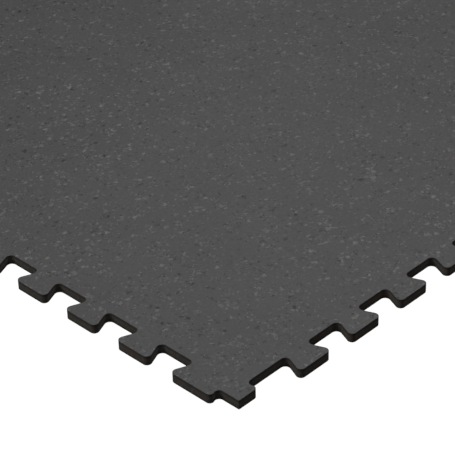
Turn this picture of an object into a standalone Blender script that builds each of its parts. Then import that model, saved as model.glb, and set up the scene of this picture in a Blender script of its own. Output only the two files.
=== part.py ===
"""Interlocking PVC floor tile.

One moulded sheet of flexible PVC. Each of its four sides is the same run of rounded dovetail teeth and
gaps, so the tile looks the same after a quarter turn, and a tooth of one tile drops into a gap of the
next. Metres, +Z up. The origin is the middle of the underside, and the wear face is on top.
"""

import math

import bpy

# Driving dimensions
MODULE = 0.500  # side of the square of floor that one laid tile covers
THICKNESS = 0.0066
TEETH = 9  # regular teeth on a side, besides the wide one beside its corner
PITCH = 0.0454  # from one regular tooth to the next
WIDE_TOOTH = 0.0285  # width on the module line of the wide tooth, and of the wide gap it drops into
REACH = 0.0080  # how far a tooth stands out past the module line, and how far a gap cuts in
FLANK_ANGLE = math.radians(22.5)  # undercut of a dovetail's flank, from square to the side
DOVETAIL_RADIUS = 0.0032
LAND_FLANK_RADIUS = 0.0028  # on the half flank beside a land, which has no room for the larger radius
CORNER_RADIUS = 0.0006  # at the four corners, where four laid tiles meet
FIT_CLEARANCE = 0.0001  # all edges stand back this far, so that two laid tiles don't bind
ARC_STEPS = 5  # straight facets in each rounded corner of a dovetail
CORNER_ARC_STEPS = 2
SIDES = 4

# Derived dimensions
HALF_MODULE = MODULE / 2
HALF_PITCH = PITCH / 2
CORNER_LAND = (MODULE - TEETH * PITCH) / 2 - WIDE_TOOTH  # straight stretch between a corner and a flank
TIP = REACH - FIT_CLEARANCE  # how far out a tooth's tip lies
ROOT = -REACH - FIT_CLEARANCE  # how far out a gap's root lies, which is inwards
LAND = -FIT_CLEARANCE

# Finish
CHARCOAL = (0.078, 0.078, 0.077, 1.0)
ROUGHNESS = 0.55


def clear_scene():
    """Removes every object that the scene starts with."""
    for obj in list(bpy.data.objects):
        bpy.data.objects.remove(obj)


def flank_at(position, rises, out):
    """The place along a side where a flank stands, at a distance out from the module line.

    The flank crosses the module line near position. One that rises leads from a gap onto a tooth.
    """
    lean = out * math.tan(FLANK_ANGLE) - FIT_CLEARANCE / math.cos(FLANK_ANGLE)
    return position - lean if rises else position + lean


def falling_flank(position, top, bottom, radius=DOVETAIL_RADIUS):
    """The two corners, as (along, out, radius), of a flank that leads off a tooth or a land."""
    return [
        (flank_at(position, False, top), top, radius - FIT_CLEARANCE),
        (flank_at(position, False, bottom), bottom, radius + FIT_CLEARANCE),
    ]


def rising_flank(position):
    """The two corners, as (along, out, radius), of a flank that leads from a gap onto a tooth."""
    return [
        (flank_at(position, True, ROOT), ROOT, DOVETAIL_RADIUS + FIT_CLEARANCE),
        (flank_at(position, True, TIP), TIP, DOVETAIL_RADIUS - FIT_CLEARANCE),
    ]


def side_corners():
    """The corners of one side, counterclockwise: a tile corner, a wide gap, the teeth, a wide tooth.

    Each is (along, out, radius), with along counted from the tile's corner and out from the module line.
    """
    corners = [(FIT_CLEARANCE, LAND, CORNER_RADIUS)]
    position = CORNER_LAND
    corners += falling_flank(position, LAND, ROOT, LAND_FLANK_RADIUS)
    position += WIDE_TOOTH
    corners += rising_flank(position)
    for _ in range(TEETH):
        corners += falling_flank(position + HALF_PITCH, TIP, ROOT)
        corners += rising_flank(position + PITCH)
        position += PITCH
    corners += falling_flank(position + WIDE_TOOTH, TIP, LAND, LAND_FLANK_RADIUS)
    return corners


def arc_through(before, corner, after, radius, steps):
    """Points of an arc of that radius that rounds the corner between its two neighbours."""
    to_before = math.atan2(before[1] - corner[1], before[0] - corner[0])
    to_after = math.atan2(after[1] - corner[1], after[0] - corner[0])
    opening = math.remainder(to_after - to_before, math.tau)
    middle = to_before + opening / 2
    reach = radius / abs(math.sin(opening / 2))
    centre = (corner[0] + reach * math.cos(middle), corner[1] + reach * math.sin(middle))
    turn = math.copysign(math.pi - abs(opening), opening)
    start = middle + math.pi + turn / 2
    return [
        (
            centre[0] + radius * math.cos(start - turn * step / steps),
            centre[1] + radius * math.sin(start - turn * step / steps),
        )
        for step in range(steps + 1)
    ]


def tile_outline():
    """The tile's outline seen from above, counterclockwise, with every corner rounded."""
    corners = []
    for side in range(SIDES):
        cosine, sine = math.cos(side * math.pi / 2), math.sin(side * math.pi / 2)
        for along, out, radius in side_corners():
            x, y = along - HALF_MODULE, -HALF_MODULE - out
            corners.append((x * cosine - y * sine, x * sine + y * cosine, radius))
    outline = []
    for index, corner in enumerate(corners):
        before, after = corners[index - 1], corners[(index + 1) % len(corners)]
        steps = CORNER_ARC_STEPS if corner[2] == CORNER_RADIUS else ARC_STEPS
        outline += arc_through(before, corner, after, corner[2], steps)
    return outline


def charcoal_pvc():
    """The plain dark grey of the whole sheet."""
    material = bpy.data.materials.new("charcoal_pvc")
    material.use_nodes = True
    shader = material.node_tree.nodes["Principled BSDF"]
    shader.inputs["Base Color"].default_value = CHARCOAL
    shader.inputs["Roughness"].default_value = ROUGHNESS
    shader.inputs["Metallic"].default_value = 0.0
    return material


def floor_tile():
    """The sheet: its flat outline, as thick as the tile and standing on the origin's level."""
    curve = bpy.data.curves.new("floor_tile", "CURVE")
    curve.dimensions = "2D"
    curve.fill_mode = "BOTH"
    curve.extrude = THICKNESS / 2
    outline = tile_outline()
    spline = curve.splines.new("POLY")
    spline.points.add(len(outline) - 1)
    for point, (x, y) in zip(spline.points, outline):
        point.co = (x, y, 0.0, 1.0)
    spline.use_cyclic_u = True
    curve.materials.append(charcoal_pvc())
    tile = bpy.data.objects.new("floor_tile", curve)
    tile.location.z = THICKNESS / 2
    return tile


def main():
    """Builds the tile in its own collection."""
    clear_scene()
    collection = bpy.data.collections.new("interlocking_floor_tile")
    bpy.context.scene.collection.children.link(collection)
    collection.objects.link(floor_tile())


main()
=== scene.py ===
"""The finished look of an interlocking floor tile of flexible vinyl.

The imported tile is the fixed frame. A finer moulding of the same sizes stands for it here, with eased rims, a
speckled wear face, plain cut sides and a plain back. It lies on a pale floor under studio lamps.
Lengths are in metres, and +Z is up out of the wear face. The finishes count in millimetres.
"""

import logging
import math
from dataclasses import dataclass
from enum import Enum

import bpy
from mathutils import Matrix, Vector


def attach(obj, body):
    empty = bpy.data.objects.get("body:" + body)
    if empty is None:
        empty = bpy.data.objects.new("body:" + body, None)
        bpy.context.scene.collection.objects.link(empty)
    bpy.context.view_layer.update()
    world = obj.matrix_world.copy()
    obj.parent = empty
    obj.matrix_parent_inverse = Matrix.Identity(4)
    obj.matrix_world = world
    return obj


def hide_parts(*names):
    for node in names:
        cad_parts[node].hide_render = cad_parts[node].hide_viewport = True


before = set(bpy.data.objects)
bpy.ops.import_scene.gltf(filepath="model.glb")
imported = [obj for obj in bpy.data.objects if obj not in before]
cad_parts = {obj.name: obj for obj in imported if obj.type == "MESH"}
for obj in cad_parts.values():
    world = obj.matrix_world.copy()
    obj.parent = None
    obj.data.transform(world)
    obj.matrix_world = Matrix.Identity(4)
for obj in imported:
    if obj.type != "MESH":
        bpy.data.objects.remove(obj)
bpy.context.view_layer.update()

Socket = bpy.types.NodeSocket
Colour = tuple[float, float, float]
Point = tuple[float, float, float]
Span = tuple[float, float]

LOG = logging.getLogger("floor_tile")
MILLIMETRE = 0.001
SIDES = 4
QUARTER_TURN = math.pi / 2
NOISE_MIDDLE = 0.5
NOISE_REACH = 0.25  # how far a noise mostly strays to either side of its middle
NOISE_BAND = (0.3, 0.7)  # the levels that nearly all of a noise lies between

DARK = (0.021, 0.021, 0.022)
PALE = (0.146, 0.145, 0.142)
WHITE = (1.0, 1.0, 1.0)


class Face(Enum):
    """The parts of the sheet's skin that are finished apart. The value is the material slot's number."""

    WEAR = 0
    CUT = 1
    BACK = 2


class Bend(Enum):
    """Which way a corner of the outline turns. The value is how a spoke of its arc points: out or in."""

    CONVEX = 1.0
    CONCAVE = -1.0


@dataclass
class Drawing:
    """A material's shader nodes while they are being put together.

    Attributes:
        tree: the node tree that is drawn in.
    """

    tree: bpy.types.NodeTree

    def add(self, kind: str, **settings: object) -> bpy.types.Node:
        """Adds a node.

        Args:
            kind: the node's type, without the word ShaderNode.
            settings: properties of the node and their values.

        Returns:
            The new node.
        """
        node = self.tree.nodes.new("ShaderNode" + kind)
        for name, value in settings.items():
            setattr(node, name, value)
        return node

    def feed(self, socket: Socket, value: object) -> None:
        """Links a socket to another one, or sets it to a plain value.

        Args:
            socket: the input that is fed.
            value: an output socket, a number or a colour.
        """
        if isinstance(value, Socket):
            self.tree.links.new(value, socket)
        else:
            socket.default_value = value

    def worked_out(self, operation: str, first: object, second: object) -> Socket:
        """Works out one number from two.

        Args:
            operation: the name of the arithmetic, such as POWER.
            first: a number or a socket.
            second: a number or a socket.

        Returns:
            The result's socket.
        """
        node = self.add("Math", operation=operation)
        self.feed(node.inputs[0], first)
        self.feed(node.inputs[1], second)
        return node.outputs[0]

    def product(self, first: Socket, *others: object) -> Socket:
        """Multiplies numbers together.

        Args:
            first: the first factor.
            others: the other factors, each a number or a socket.

        Returns:
            The product's socket.
        """
        for factor in others:
            first = self.worked_out("MULTIPLY", first, factor)
        return first

    def eased(
        self, value: object, low: float, high: float, at_low: float = 0.0, at_high: float = 1.0
    ) -> Socket:
        """A smooth step from one level to another.

        Args:
            value: the number that is read.
            low: where the step starts.
            high: where the step ends.
            at_low: the level before the step.
            at_high: the level after the step.

        Returns:
            The level's socket.
        """
        node = self.add("MapRange", interpolation_type="SMOOTHSTEP")
        for name, given in zip(
            ("Value", "From Min", "From Max", "To Min", "To Max"), (value, low, high, at_low, at_high)
        ):
            self.feed(node.inputs[name], given)
        return node.outputs["Result"]

    def varied(self, noise: Socket, amount: float, band: Span = NOISE_BAND) -> Socket:
        """A factor that follows a noise, from 1 - amount at the band's start to 1 + amount at its end."""
        return self.eased(noise, *band, 1 - amount, 1 + amount)

    def spread(self, lot: Socket, low: float, high: float) -> Socket:
        """Turns a lot from 0 to 1 into a size from low to high.

        Args:
            lot: the lot.
            low: the size at 0.
            high: the size at 1.

        Returns:
            The size's socket.
        """
        node = self.add("Math", operation="MULTIPLY_ADD")
        for socket, given in zip(node.inputs, (lot, high - low, low)):
            self.feed(socket, given)
        return node.outputs[0]

    def place(self, stretch: Point = (1.0, 1.0, 1.0), shift: Point = (0.0, 0.0, 0.0)) -> Socket:
        """The point on the tile, in millimetres from the middle of its underside.

        Args:
            stretch: factor for each axis.
            shift: added to each axis, in millimetres, so that two patterns differ.

        Returns:
            The point's socket.
        """
        point = self.add("TexCoord").outputs["Object"]
        node = self.add("Mapping")
        self.feed(node.inputs["Vector"], point)
        node.inputs["Scale"].default_value = [factor / MILLIMETRE for factor in stretch]
        node.inputs["Location"].default_value = shift
        return node.outputs["Vector"]

    def noise_node(self, place: Socket, grain: float, detail: float, flat: bool) -> bpy.types.Node:
        """Soft irregular noise.

        Args:
            place: the point it is read at, in millimetres.
            grain: the size of its lumps in millimetres.
            detail: how many finer layers it has.
            flat: whether it is the same at every height.

        Returns:
            The noise node.
        """
        node = self.add("TexNoise", noise_dimensions="2D" if flat else "3D")
        self.feed(node.inputs["Vector"], place)
        node.inputs["Scale"].default_value = 1 / grain
        node.inputs["Detail"].default_value = detail
        return node

    def noise(self, place: Socket, grain: float, detail: float = 2.0, flat: bool = True) -> Socket:
        """The level of such a noise, as a socket."""
        return self.noise_node(place, grain, detail, flat).outputs[0]

    def strayed(self, place: Socket, grain: float, reach: float) -> Socket:
        """Moves a point a little, so that what is drawn there gets a ragged outline.

        Args:
            place: the point, in millimetres.
            grain: the size of the strays, in millimetres.
            reach: how far they go, in millimetres.

        Returns:
            The moved point's socket.
        """
        stray = self.add("VectorMath", operation="SUBTRACT")
        noise = self.noise_node(place, grain, detail=1.0, flat=True)
        self.feed(stray.inputs[0], noise.outputs["Color"])
        stray.inputs[1].default_value = (NOISE_MIDDLE,) * 3
        moved = self.add("VectorMath", operation="MULTIPLY_ADD")
        self.feed(moved.inputs[0], stray.outputs[0])
        moved.inputs[1].default_value = (reach / NOISE_REACH,) * 3
        self.feed(moved.inputs[2], place)
        return moved.outputs[0]

    def tinted(self, share: Socket, base: object, over: Colour) -> Socket:
        """Lays one colour over another.

        Args:
            share: how much of the upper colour shows, from 0 to 1.
            base: the colour below, which may be a socket.
            over: the colour above.

        Returns:
            The mixed colour's socket.
        """
        node = self.add("Mix", data_type="RGBA", blend_type="MIX")
        self.feed(node.inputs["Factor"], share)
        self.feed(node.inputs["A"], base if isinstance(base, Socket) else (*base, 1.0))
        self.feed(node.inputs["B"], (*over, 1.0))
        return next(socket for socket in node.outputs if socket.type == "RGBA")

    def scaled(self, colour: object, by: Socket) -> Socket:
        """Makes a colour lighter or darker.

        Args:
            colour: the colour, which may be a socket.
            by: what each of its channels is multiplied by.

        Returns:
            The new colour's socket.
        """
        node = self.add("VectorMath", operation="SCALE")
        self.feed(node.inputs[0], colour)
        self.feed(node.inputs["Scale"], by)
        return node.outputs["Vector"]

    def relief(self, height: Socket, depth: float, under: Socket | None = None) -> Socket:
        """Turns a height pattern into a bent surface normal.

        Args:
            height: the pattern, from 0 to 1.
            depth: how deep the pattern is, in millimetres.
            under: a normal that this relief lies on.

        Returns:
            The normal's socket.
        """
        node = self.add("Bump")
        node.inputs["Distance"].default_value = depth * MILLIMETRE
        self.feed(node.inputs["Height"], height)
        if under is not None:
            self.feed(node.inputs["Normal"], under)
        return node.outputs["Normal"]


@dataclass(frozen=True)
class Chips:
    """One kind of vinyl chip rolled into the wear face.

    Attributes:
        colour: the chip's own colour.
        spacing: distance between neighbouring places for a chip, in millimetres.
        share: the part of those places that hold one.
        smallest: radius of the smallest chip, in millimetres.
        largest: radius of the largest chip, in millimetres.
        faintest: how strongly the faintest chip shows, from 0 to 1.
        slimness: its width as a part of its length.
        turn: the direction its length runs in, in degrees.
        raggedness: how far its outline strays from a plain one, in millimetres.
        rim: width of its blurred rim, in millimetres.
        shift: where the pattern starts, in millimetres.
        lobe: size of the outline's large strays, as a part of the largest radius.
        nick: size of its small strays, likewise.
        nick_reach: how far the small strays go, as a part of the raggedness.
        rarity_of_large: over 1, so that large chips are rarer than small ones.
        rarity_of_strong: over 1, so that strong chips are rarer than faint ones.
    """

    colour: Colour
    spacing: float
    share: float
    smallest: float
    largest: float
    faintest: float
    slimness: float
    turn: float
    raggedness: float
    rim: float
    shift: Point
    lobe: float = 1.5
    nick: float = 0.4
    nick_reach: float = 0.3
    rarity_of_large: float = 1.6
    rarity_of_strong: float = 1.8

    def cells(self, draw: Drawing) -> bpy.types.Node:
        """The ragged cells of the sheet that hold up to one chip each.

        Args:
            draw: the material being drawn.

        Returns:
            The node that gives each point's cell and its distance from the cell's middle.
        """
        lobed = draw.strayed(draw.place(shift=self.shift), self.lobe * self.largest, self.raggedness)
        ragged = draw.strayed(lobed, self.nick * self.largest, self.nick_reach * self.raggedness)
        turned = draw.add("Mapping")
        draw.feed(turned.inputs["Vector"], ragged)
        turned.inputs["Rotation"].default_value = (0.0, 0.0, math.radians(self.turn))
        turned.inputs["Scale"].default_value = (math.sqrt(self.slimness), 1 / math.sqrt(self.slimness), 1.0)
        cells = draw.add("TexVoronoi", voronoi_dimensions="2D", feature="F1")
        draw.feed(cells.inputs["Vector"], turned.outputs["Vector"])
        cells.inputs["Scale"].default_value = 1 / self.spacing
        return cells

    def cover(self, draw: Drawing, crowding: Socket) -> Socket:
        """How strongly such a chip shows at each point.

        Args:
            draw: the material being drawn.
            crowding: how crowded the chips are there, about 1.

        Returns:
            A socket from 0, no chip, to 1.
        """
        cells = self.cells(draw)
        lots = draw.add("SeparateColor")
        draw.feed(lots.inputs[0], cells.outputs["Color"])
        held, size, show = lots.outputs
        filled = draw.worked_out("LESS_THAN", held, draw.product(crowding, self.share))
        radius = draw.spread(
            draw.worked_out("POWER", size, self.rarity_of_large), self.smallest, self.largest
        )
        away = draw.product(cells.outputs["Distance"], self.spacing)
        inside = draw.eased(draw.worked_out("SUBTRACT", radius, away), -self.rim / 2, self.rim / 2)
        strength = draw.spread(draw.worked_out("POWER", show, self.rarity_of_strong), self.faintest, 1.0)
        return draw.product(filled, inside, strength)


def plain_material(name: str) -> tuple[bpy.types.Material, Drawing, bpy.types.Node]:
    """Starts a material.

    Args:
        name: the material's name.

    Returns:
        The material, its drawing, and its main shader.
    """
    material = bpy.data.materials.new(name)
    material.use_nodes = True
    return material, Drawing(material.node_tree), material.node_tree.nodes["Principled BSDF"]


@dataclass(frozen=True)
class SpeckledWearFace:
    """The wear face: charcoal vinyl with light and dark chips, and a faint embossed grain.

    Attributes:
        ground: the colour between the chips.
        chips: the kinds of chip, the lowest first.
        clump: size of the patches where chips crowd, in millimetres.
        clump_edge: the levels of the clumps' noise at which crowding starts and is full.
        crowding: how crowded the chips are between the clumps and in them.
        cloud: size of the slow changes of tone, in millimetres.
        cloud_tone: how far they change the ground's tone, as a part of it.
        mottle: size of the quick changes of tone, in millimetres.
        mottle_tone: how far they change the ground's tone.
        mottle_band: the levels of their noise at which the ground is darkest and palest.
        sheen: size of the patches of unlike gloss, in millimetres.
        roughness: the roughness of the glossiest and of the dullest patch.
        swell: size of the sheet's slow waviness, in millimetres.
        swell_depth: depth of that waviness, in millimetres.
        grain: size of the embossed grain, in millimetres.
        grain_depth: depth of that grain, in millimetres.
    """

    ground: Colour = (0.0662, 0.0657, 0.0664)
    chips: tuple[Chips, ...] = (
        Chips(
            DARK, spacing=4.2, share=0.34, smallest=0.45, largest=1.65, faintest=0.10,
            slimness=0.75, turn=70.0, raggedness=1.0, rim=0.7, shift=(31.0, 7.0, 0.0),
        ),
        Chips(
            DARK, spacing=2.0, share=0.30, smallest=0.20, largest=0.85, faintest=0.15,
            slimness=0.75, turn=20.0, raggedness=0.4, rim=0.3, shift=(5.0, 83.0, 0.0),
        ),
        Chips(
            PALE, spacing=3.3, share=0.27, smallest=0.35, largest=1.35, faintest=0.10,
            slimness=0.72, turn=40.0, raggedness=0.9, rim=0.6, shift=(61.0, 19.0, 0.0),
        ),
        Chips(
            PALE, spacing=4.3, share=0.30, smallest=0.45, largest=1.60, faintest=0.10,
            slimness=0.72, turn=-50.0, raggedness=1.1, rim=0.7, shift=(17.0, 45.0, 0.0),
        ),
        Chips(
            PALE, spacing=1.8, share=0.25, smallest=0.20, largest=0.65, faintest=0.20,
            slimness=0.75, turn=100.0, raggedness=0.4, rim=0.3, shift=(77.0, 91.0, 0.0),
        ),
    )
    clump: float = 13.0
    clump_edge: Span = (0.34, 0.68)
    crowding: Span = (0.35, 1.72)
    cloud: float = 55.0
    cloud_tone: float = 0.03
    mottle: float = 1.7
    mottle_tone: float = 0.06
    mottle_band: Span = (0.25, 0.75)
    sheen: float = 3.0
    roughness: Span = (0.52, 0.60)
    swell: float = 7.0
    swell_depth: float = 0.020
    grain: float = 0.9
    grain_depth: float = 0.010

    def material(self) -> bpy.types.Material:
        """Draws the finish.

        Returns:
            Its material.
        """
        material, draw, shader = plain_material("speckled_vinyl")
        point = draw.place()
        crowding = draw.eased(draw.noise(point, self.clump, detail=1.0), *self.clump_edge, *self.crowding)
        slow = draw.varied(draw.noise(point, self.cloud), self.cloud_tone)
        quick = draw.varied(draw.noise(point, self.mottle, detail=3.0), self.mottle_tone, self.mottle_band)
        colour = draw.scaled(self.ground, draw.product(slow, quick))
        for chips in self.chips:
            colour = draw.tinted(chips.cover(draw, crowding), colour, chips.colour)
        draw.feed(shader.inputs["Base Color"], colour)
        gloss = draw.eased(draw.noise(point, self.sheen), *NOISE_BAND, *self.roughness)
        draw.feed(shader.inputs["Roughness"], gloss)
        wavy = draw.relief(draw.noise(point, self.swell, detail=1.0), self.swell_depth)
        grainy = draw.relief(draw.noise(point, self.grain), self.grain_depth, under=wavy)
        draw.feed(shader.inputs["Normal"], grainy)
        return material


@dataclass(frozen=True)
class CutSide:
    """The cut side of the sheet: darker and warmer than the wear face, palest at half height, with painted
    contact shade that darkens it towards the floor.

    Attributes:
        colour: its colour at half height.
        rusty: the warmer colour that it takes in places.
        patch: size of those places, in millimetres.
        patch_edge: the levels of the patches' noise at which the warmer colour starts and is full.
        skin: how much darker the band under the wear face is, as a factor.
        skin_from: where that band starts, in millimetres above the floor.
        skin_to: where it is darkest, in millimetres above the floor.
        foot: how much darker the foot is, as a factor: painted contact shade where the side meets the floor.
        contact_shade_from: how high it is darkest, in millimetres.
        contact_shade_to: how high it reaches, in millimetres.
        mark: width of the upright draw marks, in millimetres.
        mark_slimness: their width as a part of their length.
        mark_tone: how far they change the tone, as a part of it.
        mark_depth: their depth, in millimetres.
        crumb: size of the torn crumbs, in millimetres.
        crumb_tone: how far they change the tone.
        crumb_depth: their depth, in millimetres.
        blotch: size of the soft blotches, in millimetres.
        blotch_tone: how far they change the tone.
        roughness: the roughness between the crumbs and on them.
    """

    colour: Colour = (0.0460, 0.0405, 0.0338)
    rusty: Colour = (0.0500, 0.0370, 0.0290)
    patch: float = 16.0
    patch_edge: Span = (0.52, 0.72)
    skin: float = 0.52
    skin_from: float = 4.2
    skin_to: float = 5.6
    foot: float = 0.62
    contact_shade_from: float = 0.2
    contact_shade_to: float = 3.0
    mark: float = 0.8
    mark_slimness: float = 0.08
    mark_tone: float = 0.10
    mark_depth: float = 0.05
    crumb: float = 0.45
    crumb_tone: float = 0.07
    crumb_depth: float = 0.02
    blotch: float = 2.6
    blotch_tone: float = 0.16
    roughness: Span = (0.62, 0.76)

    def material(self) -> bpy.types.Material:
        """Draws the finish.

        Returns:
            Its material.
        """
        material, draw, shader = plain_material("cut_vinyl")
        point = draw.place()
        height = draw.add("SeparateXYZ")
        draw.feed(height.inputs[0], point)
        skin = draw.eased(height.outputs["Z"], self.skin_from, self.skin_to, 1.0, self.skin)
        # painted contact shade: the cut side darkens towards the floor
        foot = draw.eased(height.outputs["Z"], self.contact_shade_from, self.contact_shade_to, self.foot, 1.0)
        upright = draw.place(stretch=(1.0, 1.0, self.mark_slimness))
        marks = draw.noise(upright, self.mark, detail=3.0, flat=False)
        crumbs = draw.noise(point, self.crumb, flat=False)
        blotches = draw.noise(point, self.blotch, flat=False)
        tone = draw.product(
            skin,
            foot,
            draw.varied(blotches, self.blotch_tone),
            draw.varied(marks, self.mark_tone),
            draw.varied(crumbs, self.crumb_tone),
        )
        warmth = draw.eased(draw.noise(point, self.patch, detail=1.0, flat=False), *self.patch_edge)
        colour = draw.tinted(warmth, self.colour, self.rusty)
        draw.feed(shader.inputs["Base Color"], draw.scaled(colour, tone))
        draw.feed(shader.inputs["Roughness"], draw.eased(crumbs, *NOISE_BAND, *self.roughness))
        scored = draw.relief(marks, self.mark_depth)
        draw.feed(shader.inputs["Normal"], draw.relief(crumbs, self.crumb_depth, under=scored))
        return material


@dataclass(frozen=True)
class PlainBack:
    """The back of the sheet: plain vinyl as it left the press, with a fine matt grain.

    Attributes:
        colour: its colour.
        cloud: size of the slow changes of tone, in millimetres.
        cloud_tone: how far they change the tone, as a part of it.
        grain: size of the grain, in millimetres.
        grain_tone: how far it changes the tone.
        grain_depth: its depth, in millimetres.
        roughness: the roughness in the grain's hollows and on its tops.
    """

    colour: Colour = (0.052, 0.051, 0.049)
    cloud: float = 38.0
    cloud_tone: float = 0.07
    grain: float = 1.2
    grain_tone: float = 0.06
    grain_depth: float = 0.04
    roughness: Span = (0.66, 0.78)

    def material(self) -> bpy.types.Material:
        """Draws the finish.

        Returns:
            Its material.
        """
        material, draw, shader = plain_material("plain_vinyl_back")
        point = draw.place()
        slow = draw.varied(draw.noise(point, self.cloud, detail=3.0), self.cloud_tone)
        grain = draw.noise(point, self.grain, detail=3.0)
        tone = draw.product(slow, draw.varied(grain, self.grain_tone))
        draw.feed(shader.inputs["Base Color"], draw.scaled(self.colour, tone))
        draw.feed(shader.inputs["Roughness"], draw.eased(grain, *NOISE_BAND, *self.roughness))
        draw.feed(shader.inputs["Normal"], draw.relief(grain, self.grain_depth))
        return material


@dataclass(frozen=True)
class Corner:
    """A corner of one side's run, before it is rounded.

    Attributes:
        along: distance from the tile's corner.
        out: distance out from the module line.
        bend: which way it turns.
        radius: the radius that rounds it.
        steps: facets in its arc.
    """

    along: float
    out: float
    bend: Bend
    radius: float
    steps: int


@dataclass(frozen=True)
class Rim:
    """A point of the outline, with the direction that the side faces there.

    Attributes:
        spot: the point, seen from above.
        facing: unit vector out of the side.
    """

    spot: Vector
    facing: Vector


@dataclass(frozen=True)
class Level:
    """A level of the side's section.

    Attributes:
        inset: how far the side is set in there.
        height: its height over the floor.
        lean: the angle above the horizontal that the surface faces.
    """

    inset: float
    height: float
    lean: float


@dataclass(frozen=True)
class Patch:
    """A polygon of the sheet's skin.

    Attributes:
        corners: the numbers of its points, counterclockwise seen from outside.
        face: the part of the skin that it belongs to.
        spots: where each corner lies on the flat plan.
    """

    corners: tuple[int, ...]
    face: Face
    spots: list[tuple[float, float]]


@dataclass
class DovetailSide:
    """The run of teeth and gaps along one side, the same on all four.

    Attributes:
        module: side of the square of floor that one laid tile covers.
        teeth: regular teeth on the side.
        pitch: from one regular tooth to the next.
        wide_tooth: width of the wide tooth, and of the wide gap, on the module line.
        reach: how far teeth stand out, and gaps cut in.
        flank: a flank's lean from square.
        clearance: how far all edges stand back.
        radius: radius of the corners of teeth and gaps.
        land_radius: radius of the two corners of the half flank beside a land.
        tile_radius: radius of the tile's four corners.
        steps: facets in each rounded corner of a tooth or gap.
        tile_steps: facets in each of the four corners.
    """

    module: float = 0.500
    teeth: int = 9
    pitch: float = 0.0454
    wide_tooth: float = 0.0285
    reach: float = 0.0080
    flank: float = math.radians(22.5)
    clearance: float = 0.0001
    radius: float = 0.0032
    land_radius: float = 0.0028
    tile_radius: float = 0.0006
    steps: int = 10
    tile_steps: int = 6

    def foot_of_flank(self, crossing: float, rises: bool, out: float, bend: Bend, radius: float) -> Corner:
        """The corner at one end of a flank.

        Args:
            crossing: where the flank crosses the module line.
            rises: whether it leads from a gap onto a tooth.
            out: distance out from the module line.
            bend: which way the corner turns.
            radius: its radius, without the clearance.

        Returns:
            The corner.
        """
        lean = out * math.tan(self.flank) - self.clearance / math.cos(self.flank)
        along = crossing - lean if rises else crossing + lean
        return Corner(along, out, bend, radius - bend.value * self.clearance, self.steps)

    def fall(self, crossing: float, top: float, bottom: float, radius: float) -> list[Corner]:
        """The two corners of a flank that leads off a tooth or a land.

        Args:
            crossing: where it crosses the module line.
            top: how far out it starts.
            bottom: how far out it ends.
            radius: the radius of both corners.

        Returns:
            The corners.
        """
        return [
            self.foot_of_flank(crossing, False, top, Bend.CONVEX, radius),
            self.foot_of_flank(crossing, False, bottom, Bend.CONCAVE, radius),
        ]

    def rise(self, crossing: float, bottom: float, top: float) -> list[Corner]:
        """The two corners of a flank that leads from a gap onto a tooth.

        Args:
            crossing: where it crosses the module line.
            bottom: how far out it starts.
            top: how far out it ends.

        Returns:
            The corners.
        """
        return [
            self.foot_of_flank(crossing, True, bottom, Bend.CONCAVE, self.radius),
            self.foot_of_flank(crossing, True, top, Bend.CONVEX, self.radius),
        ]

    def corners(self) -> list[Corner]:
        """Lays out the side.

        Returns:
            Its corners, counterclockwise from the tile's own corner.
        """
        tip, root, land = self.reach - self.clearance, -self.reach - self.clearance, -self.clearance
        found = [Corner(self.clearance, land, Bend.CONVEX, self.tile_radius, self.tile_steps)]
        crossing = (self.module - self.teeth * self.pitch) / 2 - self.wide_tooth
        found += self.fall(crossing, land, root, self.land_radius)
        crossing += self.wide_tooth
        found += self.rise(crossing, root, tip)
        for _ in range(self.teeth):
            found += self.fall(crossing + self.pitch / 2, tip, root, self.radius)
            crossing += self.pitch
            found += self.rise(crossing, root, tip)
        found += self.fall(crossing + self.wide_tooth, tip, land, self.land_radius)
        return found


@dataclass(frozen=True)
class FlatPlan:
    """Where the skin lies when it is laid out on a square from 0 to 1.

    The wear face takes most of the square, the four sides are strips above it, and the plain back is small.

    Attributes:
        name: the name of the flat plan.
        wear: the wear face's side.
        back: the back's side.
        strip: height of a side's strip.
        gap: distance between the parts.
    """

    name: str = "OFBake"
    wear: float = 0.820
    back: float = 0.162
    strip: float = 0.033
    gap: float = 0.007

    def flat_spot(self, face: Face, across: float, up: float) -> tuple[float, float]:
        """The place of a point of the wear face or the back.

        Args:
            face: which of the two.
            across: how far along X it lies, as a share of the tile, from -0.5 to 0.5.
            up: how far along Y it lies, likewise.

        Returns:
            The place on the square.
        """
        if face is Face.WEAR:
            return self.gap + (0.5 + across) * self.wear, self.gap + (0.5 + up) * self.wear
        return 1 - self.gap - (0.5 + across) * self.back, self.gap + (0.5 + up) * self.back

    def side_spot(self, side: int, along: float, height: float) -> tuple[float, float]:
        """The place of a point of a side, from its shares of the side's run and of the thickness."""
        foot = self.wear + 2 * self.gap + side * (self.strip + self.gap)
        return self.gap + along * (1 - 2 * self.gap), foot + height * self.strip


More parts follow.
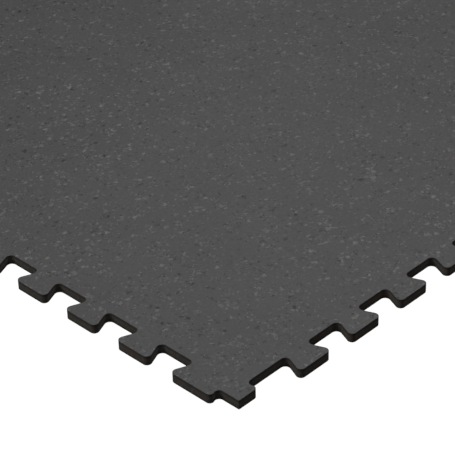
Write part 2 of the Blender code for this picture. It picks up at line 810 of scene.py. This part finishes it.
@dataclass
class FloorTile:
    """The whole tile, one moulded sheet.

    Attributes:
        side: the run of teeth along each side.
        thickness: the sheet's thickness.
        top_ease: radius of the rim of the wear face.
        foot_ease: radius of the rim of the back.
        top_steps: facets across the rim of the wear face.
        foot_steps: facets across the rim of the back.
        back_lean: the skin that leans further down than this angle is finished as the back.
        wear_face: finish of the top.
        cut_side: finish of the sides.
        back: finish of the underside.
        plan: how the skin is laid out flat.
    """

    side: DovetailSide
    thickness: float = 0.0066
    top_ease: float = 0.00020
    foot_ease: float = 0.00012
    top_steps: int = 4
    foot_steps: int = 3
    back_lean: float = -math.pi / 4
    wear_face: SpeckledWearFace = SpeckledWearFace()
    cut_side: CutSide = CutSide()
    back: PlainBack = PlainBack()
    plan: FlatPlan = FlatPlan()

    def rounded(self, before: Vector, spot: Vector, after: Vector, corner: Corner) -> list[Rim]:
        """Rounds one corner of the outline.

        Args:
            before: the spot of the corner before it.
            spot: its spot.
            after: the spot of the corner after it.
            corner: the corner.

        Returns:
            The points of its arc, with what each faces.
        """
        to_before = math.atan2(*reversed(before - spot))
        to_after = math.atan2(*reversed(after - spot))
        opening = math.remainder(to_after - to_before, math.tau)
        middle = to_before + opening / 2
        reach = corner.radius / abs(math.sin(opening / 2))
        centre = spot + reach * Vector((math.cos(middle), math.sin(middle)))
        turn = math.copysign(math.pi - abs(opening), opening)
        start = middle + math.pi + turn / 2
        found = []
        for step in range(corner.steps + 1):
            angle = start - turn * step / corner.steps
            spoke = Vector((math.cos(angle), math.sin(angle)))
            found.append(Rim(centre + corner.radius * spoke, corner.bend.value * spoke))
        return found

    def outline(self) -> list[Rim]:
        """Draws the tile's outline seen from above.

        Returns:
            Its points, counterclockwise from the front left corner.
        """
        half = self.side.module / 2
        corners = []
        for side in range(SIDES):
            turned = Matrix.Rotation(side * QUARTER_TURN, 2)
            for corner in self.side.corners():
                corners.append((turned @ Vector((corner.along - half, -half - corner.out)), corner))
        found = []
        for index, (spot, corner) in enumerate(corners):
            after = corners[(index + 1) % len(corners)][0]
            found += self.rounded(corners[index - 1][0], spot, after, corner)
        return found

    def eased_rim(self, radius: float, centre: float, leans: list[float]) -> list[Level]:
        """The levels of an eased rim.

        Args:
            radius: the radius that eases it.
            centre: the height of its arc's centre.
            leans: the angle above the horizontal that each level faces, from the foot up.

        Returns:
            The levels.
        """
        found = []
        for lean in leans:
            found.append(Level(radius * (1 - math.cos(lean)), centre + radius * math.sin(lean), lean))
        return found

    def section(self) -> list[Level]:
        """Draws the side's section.

        Returns:
            Its levels, from the back's rim up to the wear face's rim.
        """
        down = [-QUARTER_TURN * (1 - step / self.foot_steps) for step in range(self.foot_steps + 1)]
        up = [QUARTER_TURN * step / self.top_steps for step in range(self.top_steps + 1)]
        foot = self.eased_rim(self.foot_ease, self.foot_ease, down)
        return foot + self.eased_rim(self.top_ease, self.thickness - self.top_ease, up)

    def run_of_side(self, outline: list[Rim]) -> list[float]:
        """How far along its side each point of the outline lies.

        Args:
            outline: the whole outline.

        Returns:
            For each point of one side and the first of the next, the share of the side's run, up to 1.
        """
        run = [0.0]
        for here, there in zip(outline, outline[1 : len(outline) // SIDES + 1]):
            run.append(run[-1] + (there.spot - here.spot).length)
        return [length / run[-1] for length in run]

    def level_patch(self, face: Face, corners: tuple[int, ...], points: list[Point]) -> Patch:
        """A patch of the wear face or the back.

        Args:
            face: which of the two.
            corners: the numbers of its points.
            points: all the points of the skin.

        Returns:
            The patch.
        """
        size = self.side.module + 2 * self.side.reach
        places = [points[corner] for corner in corners]
        return Patch(corners, face, [self.plan.flat_spot(face, x / size, y / size) for x, y, _ in places])

    def side_patches(self, ring: int, outline: list[Rim], section: list[Level]) -> list[Patch]:
        """The band of upright patches between two levels of the section.

        Args:
            ring: the number of the lower level.
            outline: the whole outline.
            section: the whole section.

        Returns:
            The patches, counterclockwise from the first point of the outline.
        """
        low, high = (section[level].height / self.thickness for level in (ring, ring + 1))
        run = self.run_of_side(outline)
        found = []
        for here, corners in enumerate(self.ring_corners(ring, len(outline))):
            side, step = divmod(here, len(outline) // SIDES)
            near, far = run[step], run[step + 1]
            places = ((near, low), (far, low), (far, high), (near, high))
            spots = [self.plan.side_spot(side, along, height) for along, height in places]
            found.append(Patch(corners, Face.CUT, spots))
        return found

    def ring_corners(self, ring: int, count: int) -> list[tuple[int, ...]]:
        """The corners of the polygons between two levels of the section.

        Args:
            ring: the number of the lower level.
            count: how many points the outline has.

        Returns:
            The four corners' numbers of each polygon.
        """
        low, high = ring * count, (ring + 1) * count
        steps = [(here, (here + 1) % count) for here in range(count)]
        return [(low + here, low + there, high + there, high + here) for here, there in steps]

    def patches(self, outline: list[Rim], section: list[Level], points: list[Point]) -> list[Patch]:
        """All the patches of the skin.

        Args:
            outline: the whole outline.
            section: the whole section.
            points: the skin's points, level by level from the foot up.

        Returns:
            The back, the wear face, and the bands between them from the foot up.
        """
        count = len(outline)
        found = [
            self.level_patch(Face.BACK, tuple(reversed(range(count))), points),
            self.level_patch(Face.WEAR, tuple(range(len(points) - count, len(points))), points),
        ]
        for ring, (low, high) in enumerate(zip(section, section[1:])):
            if (low.lean + high.lean) / 2 < self.back_lean:
                for corners in self.ring_corners(ring, count):
                    found.append(self.level_patch(Face.BACK, corners, points))
            else:
                found += self.side_patches(ring, outline, section)
        return found

    def mesh(self) -> bpy.types.Mesh:
        """Builds the sheet's skin, with a slot for each finish and a flat plan.

        Returns:
            Its mesh.
        """
        outline, section = self.outline(), self.section()
        points, normals = [], []
        for level in section:
            for rim in outline:
                points.append((*(rim.spot - level.inset * rim.facing), level.height))
                normals.append((*(math.cos(level.lean) * rim.facing), math.sin(level.lean)))
        patches = self.patches(outline, section, points)
        mesh = bpy.data.meshes.new("moulded_sheet")
        mesh.from_pydata(points, [], [patch.corners for patch in patches])
        mesh.polygons.foreach_set("material_index", [patch.face.value for patch in patches])
        mesh.polygons.foreach_set("use_smooth", [True] * len(patches))
        plan = mesh.uv_layers.new(name=self.plan.name)
        plan.uv.foreach_set("vector", [share for patch in patches for spot in patch.spots for share in spot])
        mesh.normals_split_custom_set_from_vertices(normals)
        return mesh

    def build(self) -> bpy.types.Object:
        """Builds and dresses the tile, and sets it on its body.

        Returns:
            The tile.
        """
        tile = bpy.data.objects.new("moulded_sheet", self.mesh())
        for finish in (self.wear_face, self.cut_side, self.back):
            tile.data.materials.append(finish.material())
        bpy.context.scene.collection.objects.link(tile)
        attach(tile, "root")
        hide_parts("floor_tile")
        return tile


@dataclass(frozen=True)
class Softbox:
    """A square studio lamp, turned to the tile.

    Attributes:
        name: what the lamp is for.
        around: its direction from the tile, in degrees counterclockwise from +X.
        up: its height over the tile, in degrees.
        away: its distance from the tile.
        side: length of its side.
        power: its power in watts.
    """

    name: str
    around: float
    up: float
    away: float
    side: float
    power: float

    def hang(self, aim: Vector) -> bpy.types.Object:
        """Hangs the lamp.

        Args:
            aim: the point it is turned to.

        Returns:
            The lamp.
        """
        around, up = math.radians(self.around), math.radians(self.up)
        level = math.cos(up)
        towards = Vector((level * math.cos(around), level * math.sin(around), math.sin(up)))
        lamp = bpy.data.lights.new(self.name, "AREA")
        lamp.shape = "SQUARE"
        lamp.size = self.side
        lamp.energy = self.power
        hung = bpy.data.objects.new(self.name, lamp)
        hung.location = aim + self.away * towards
        hung.rotation_euler = (-towards).to_track_quat("-Z", "Y").to_euler()
        bpy.context.scene.collection.objects.link(hung)
        return hung


@dataclass(frozen=True)
class Studio:
    """The pale floor, the lamps and the plain surroundings.

    Attributes:
        floor_half: half the floor's side.
        floor_drop: how far the floor lies under the tile.
        floor_colour: the floor's colour.
        floor_roughness: its roughness.
        floor_glow: how much it shines by itself, so that it stays pale round the tile.
        room_light: strength of the light that the surroundings give the tile. Seen directly, it is 1.
        aim: the point that the lamps are turned to.
        lamps: the lamps.
    """

    floor_half: float = 30.0
    floor_drop: float = 0.0002
    floor_colour: Colour = (0.05, 0.05, 0.05)
    floor_roughness: float = 0.9
    floor_glow: float = 1.0
    room_light: float = 0.01
    aim: Point = (-0.10, -0.10, 0.0)
    lamps: tuple[Softbox, ...] = (
        Softbox("left_softbox", around=150.0, up=40.0, away=1.6, side=0.80, power=18.4),
        Softbox("right_softbox", around=330.0, up=50.0, away=1.6, side=0.80, power=13.2),
        Softbox("back_softbox", around=42.0, up=40.0, away=1.2, side=0.35, power=1.05),
        Softbox("front_fill", around=225.0, up=12.0, away=1.6, side=0.80, power=2.7),
    )

    def floor(self) -> bpy.types.Object:
        """Lays the floor, which gives no light to the tile.

        Returns:
            The floor.
        """
        half = self.floor_half
        mesh = bpy.data.meshes.new("studio_floor")
        corners = [(-half, -half, 0), (half, -half, 0), (half, half, 0), (-half, half, 0)]
        mesh.from_pydata(corners, [], [(0, 1, 2, 3)])
        material, _, shader = plain_material("pale_floor")
        shader.inputs["Base Color"].default_value = (*self.floor_colour, 1.0)
        shader.inputs["Roughness"].default_value = self.floor_roughness
        shader.inputs["Emission Color"].default_value = (*WHITE, 1.0)
        shader.inputs["Emission Strength"].default_value = self.floor_glow
        mesh.materials.append(material)
        floor = bpy.data.objects.new("studio_floor", mesh)
        floor.location.z = -self.floor_drop
        floor.visible_diffuse = False
        floor.visible_glossy = False
        bpy.context.scene.collection.objects.link(floor)
        return floor

    def surroundings(self) -> bpy.types.World:
        """Makes the room pale to look at, with little light of its own.

        Returns:
            The scene's world.
        """
        world = bpy.data.worlds.new("pale_room")
        world.use_nodes = True
        draw = Drawing(world.node_tree)
        seen = draw.add("LightPath").outputs["Is Camera Ray"]
        background = world.node_tree.nodes["Background"]
        draw.feed(background.inputs["Strength"], draw.eased(seen, 0.0, 1.0, self.room_light, 1.0))
        background.inputs["Color"].default_value = (*WHITE, 1.0)
        bpy.context.scene.world = world
        return world

    def build(self) -> None:
        """Sets up the floor, the lamps and the surroundings."""
        self.floor()
        for lamp in self.lamps:
            lamp.hang(Vector(self.aim))
        self.surroundings()


@dataclass(frozen=True)
class Viewpoint:
    """The camera, where the photograph was taken from.

    Attributes:
        spot: where it stands.
        aim: the point on the wear face in the middle of the picture.
        roll: how far it is tipped clockwise, in degrees.
        lens: focal length in millimetres.
        picture: width of the picture behind the lens, in millimetres.
        nearest: distance of the nearest thing that it sees.
    """

    spot: Point = (-0.82043, -0.80754, 0.66791)
    aim: Point = (-0.12856, -0.12467, 0.00660)
    roll: float = 1.472
    lens: float = 144.47
    picture: float = 36.0
    nearest: float = 0.01

    def place(self) -> bpy.types.Object:
        """Sets up the camera as the scene's own.

        Returns:
            The camera.
        """
        data = bpy.data.cameras.new("camera")
        data.lens = self.lens
        data.sensor_width = self.picture
        data.clip_start = self.nearest
        camera = bpy.data.objects.new("camera", data)
        look = (Vector(self.aim) - Vector(self.spot)).to_track_quat("-Z", "Y").to_matrix().to_4x4()
        tipped = Matrix.Rotation(math.radians(-self.roll), 4, "Z")
        camera.matrix_world = Matrix.Translation(Vector(self.spot)) @ look @ tipped
        bpy.context.scene.collection.objects.link(camera)
        bpy.context.scene.camera = camera
        return camera


def main() -> None:
    """Builds the tile, the studio and the camera."""
    logging.basicConfig(level=logging.INFO, format="%(name)s: %(message)s")
    bpy.context.scene.view_settings.view_transform = "Standard"
    tile = FloorTile(side=DovetailSide()).build()
    size = tuple(round(length, 4) for length in tile.dimensions)
    LOG.info("%s: %d faces, size %s", tile.name, len(tile.data.polygons), size)
    studio = Studio()
    studio.build()
    LOG.info("studio: floor and %d lamps", len(studio.lamps))
    camera = Viewpoint().place()
    LOG.info("%s: at %s", camera.name, tuple(round(x, 3) for x in camera.location))


if __name__ == "__main__":
    main()
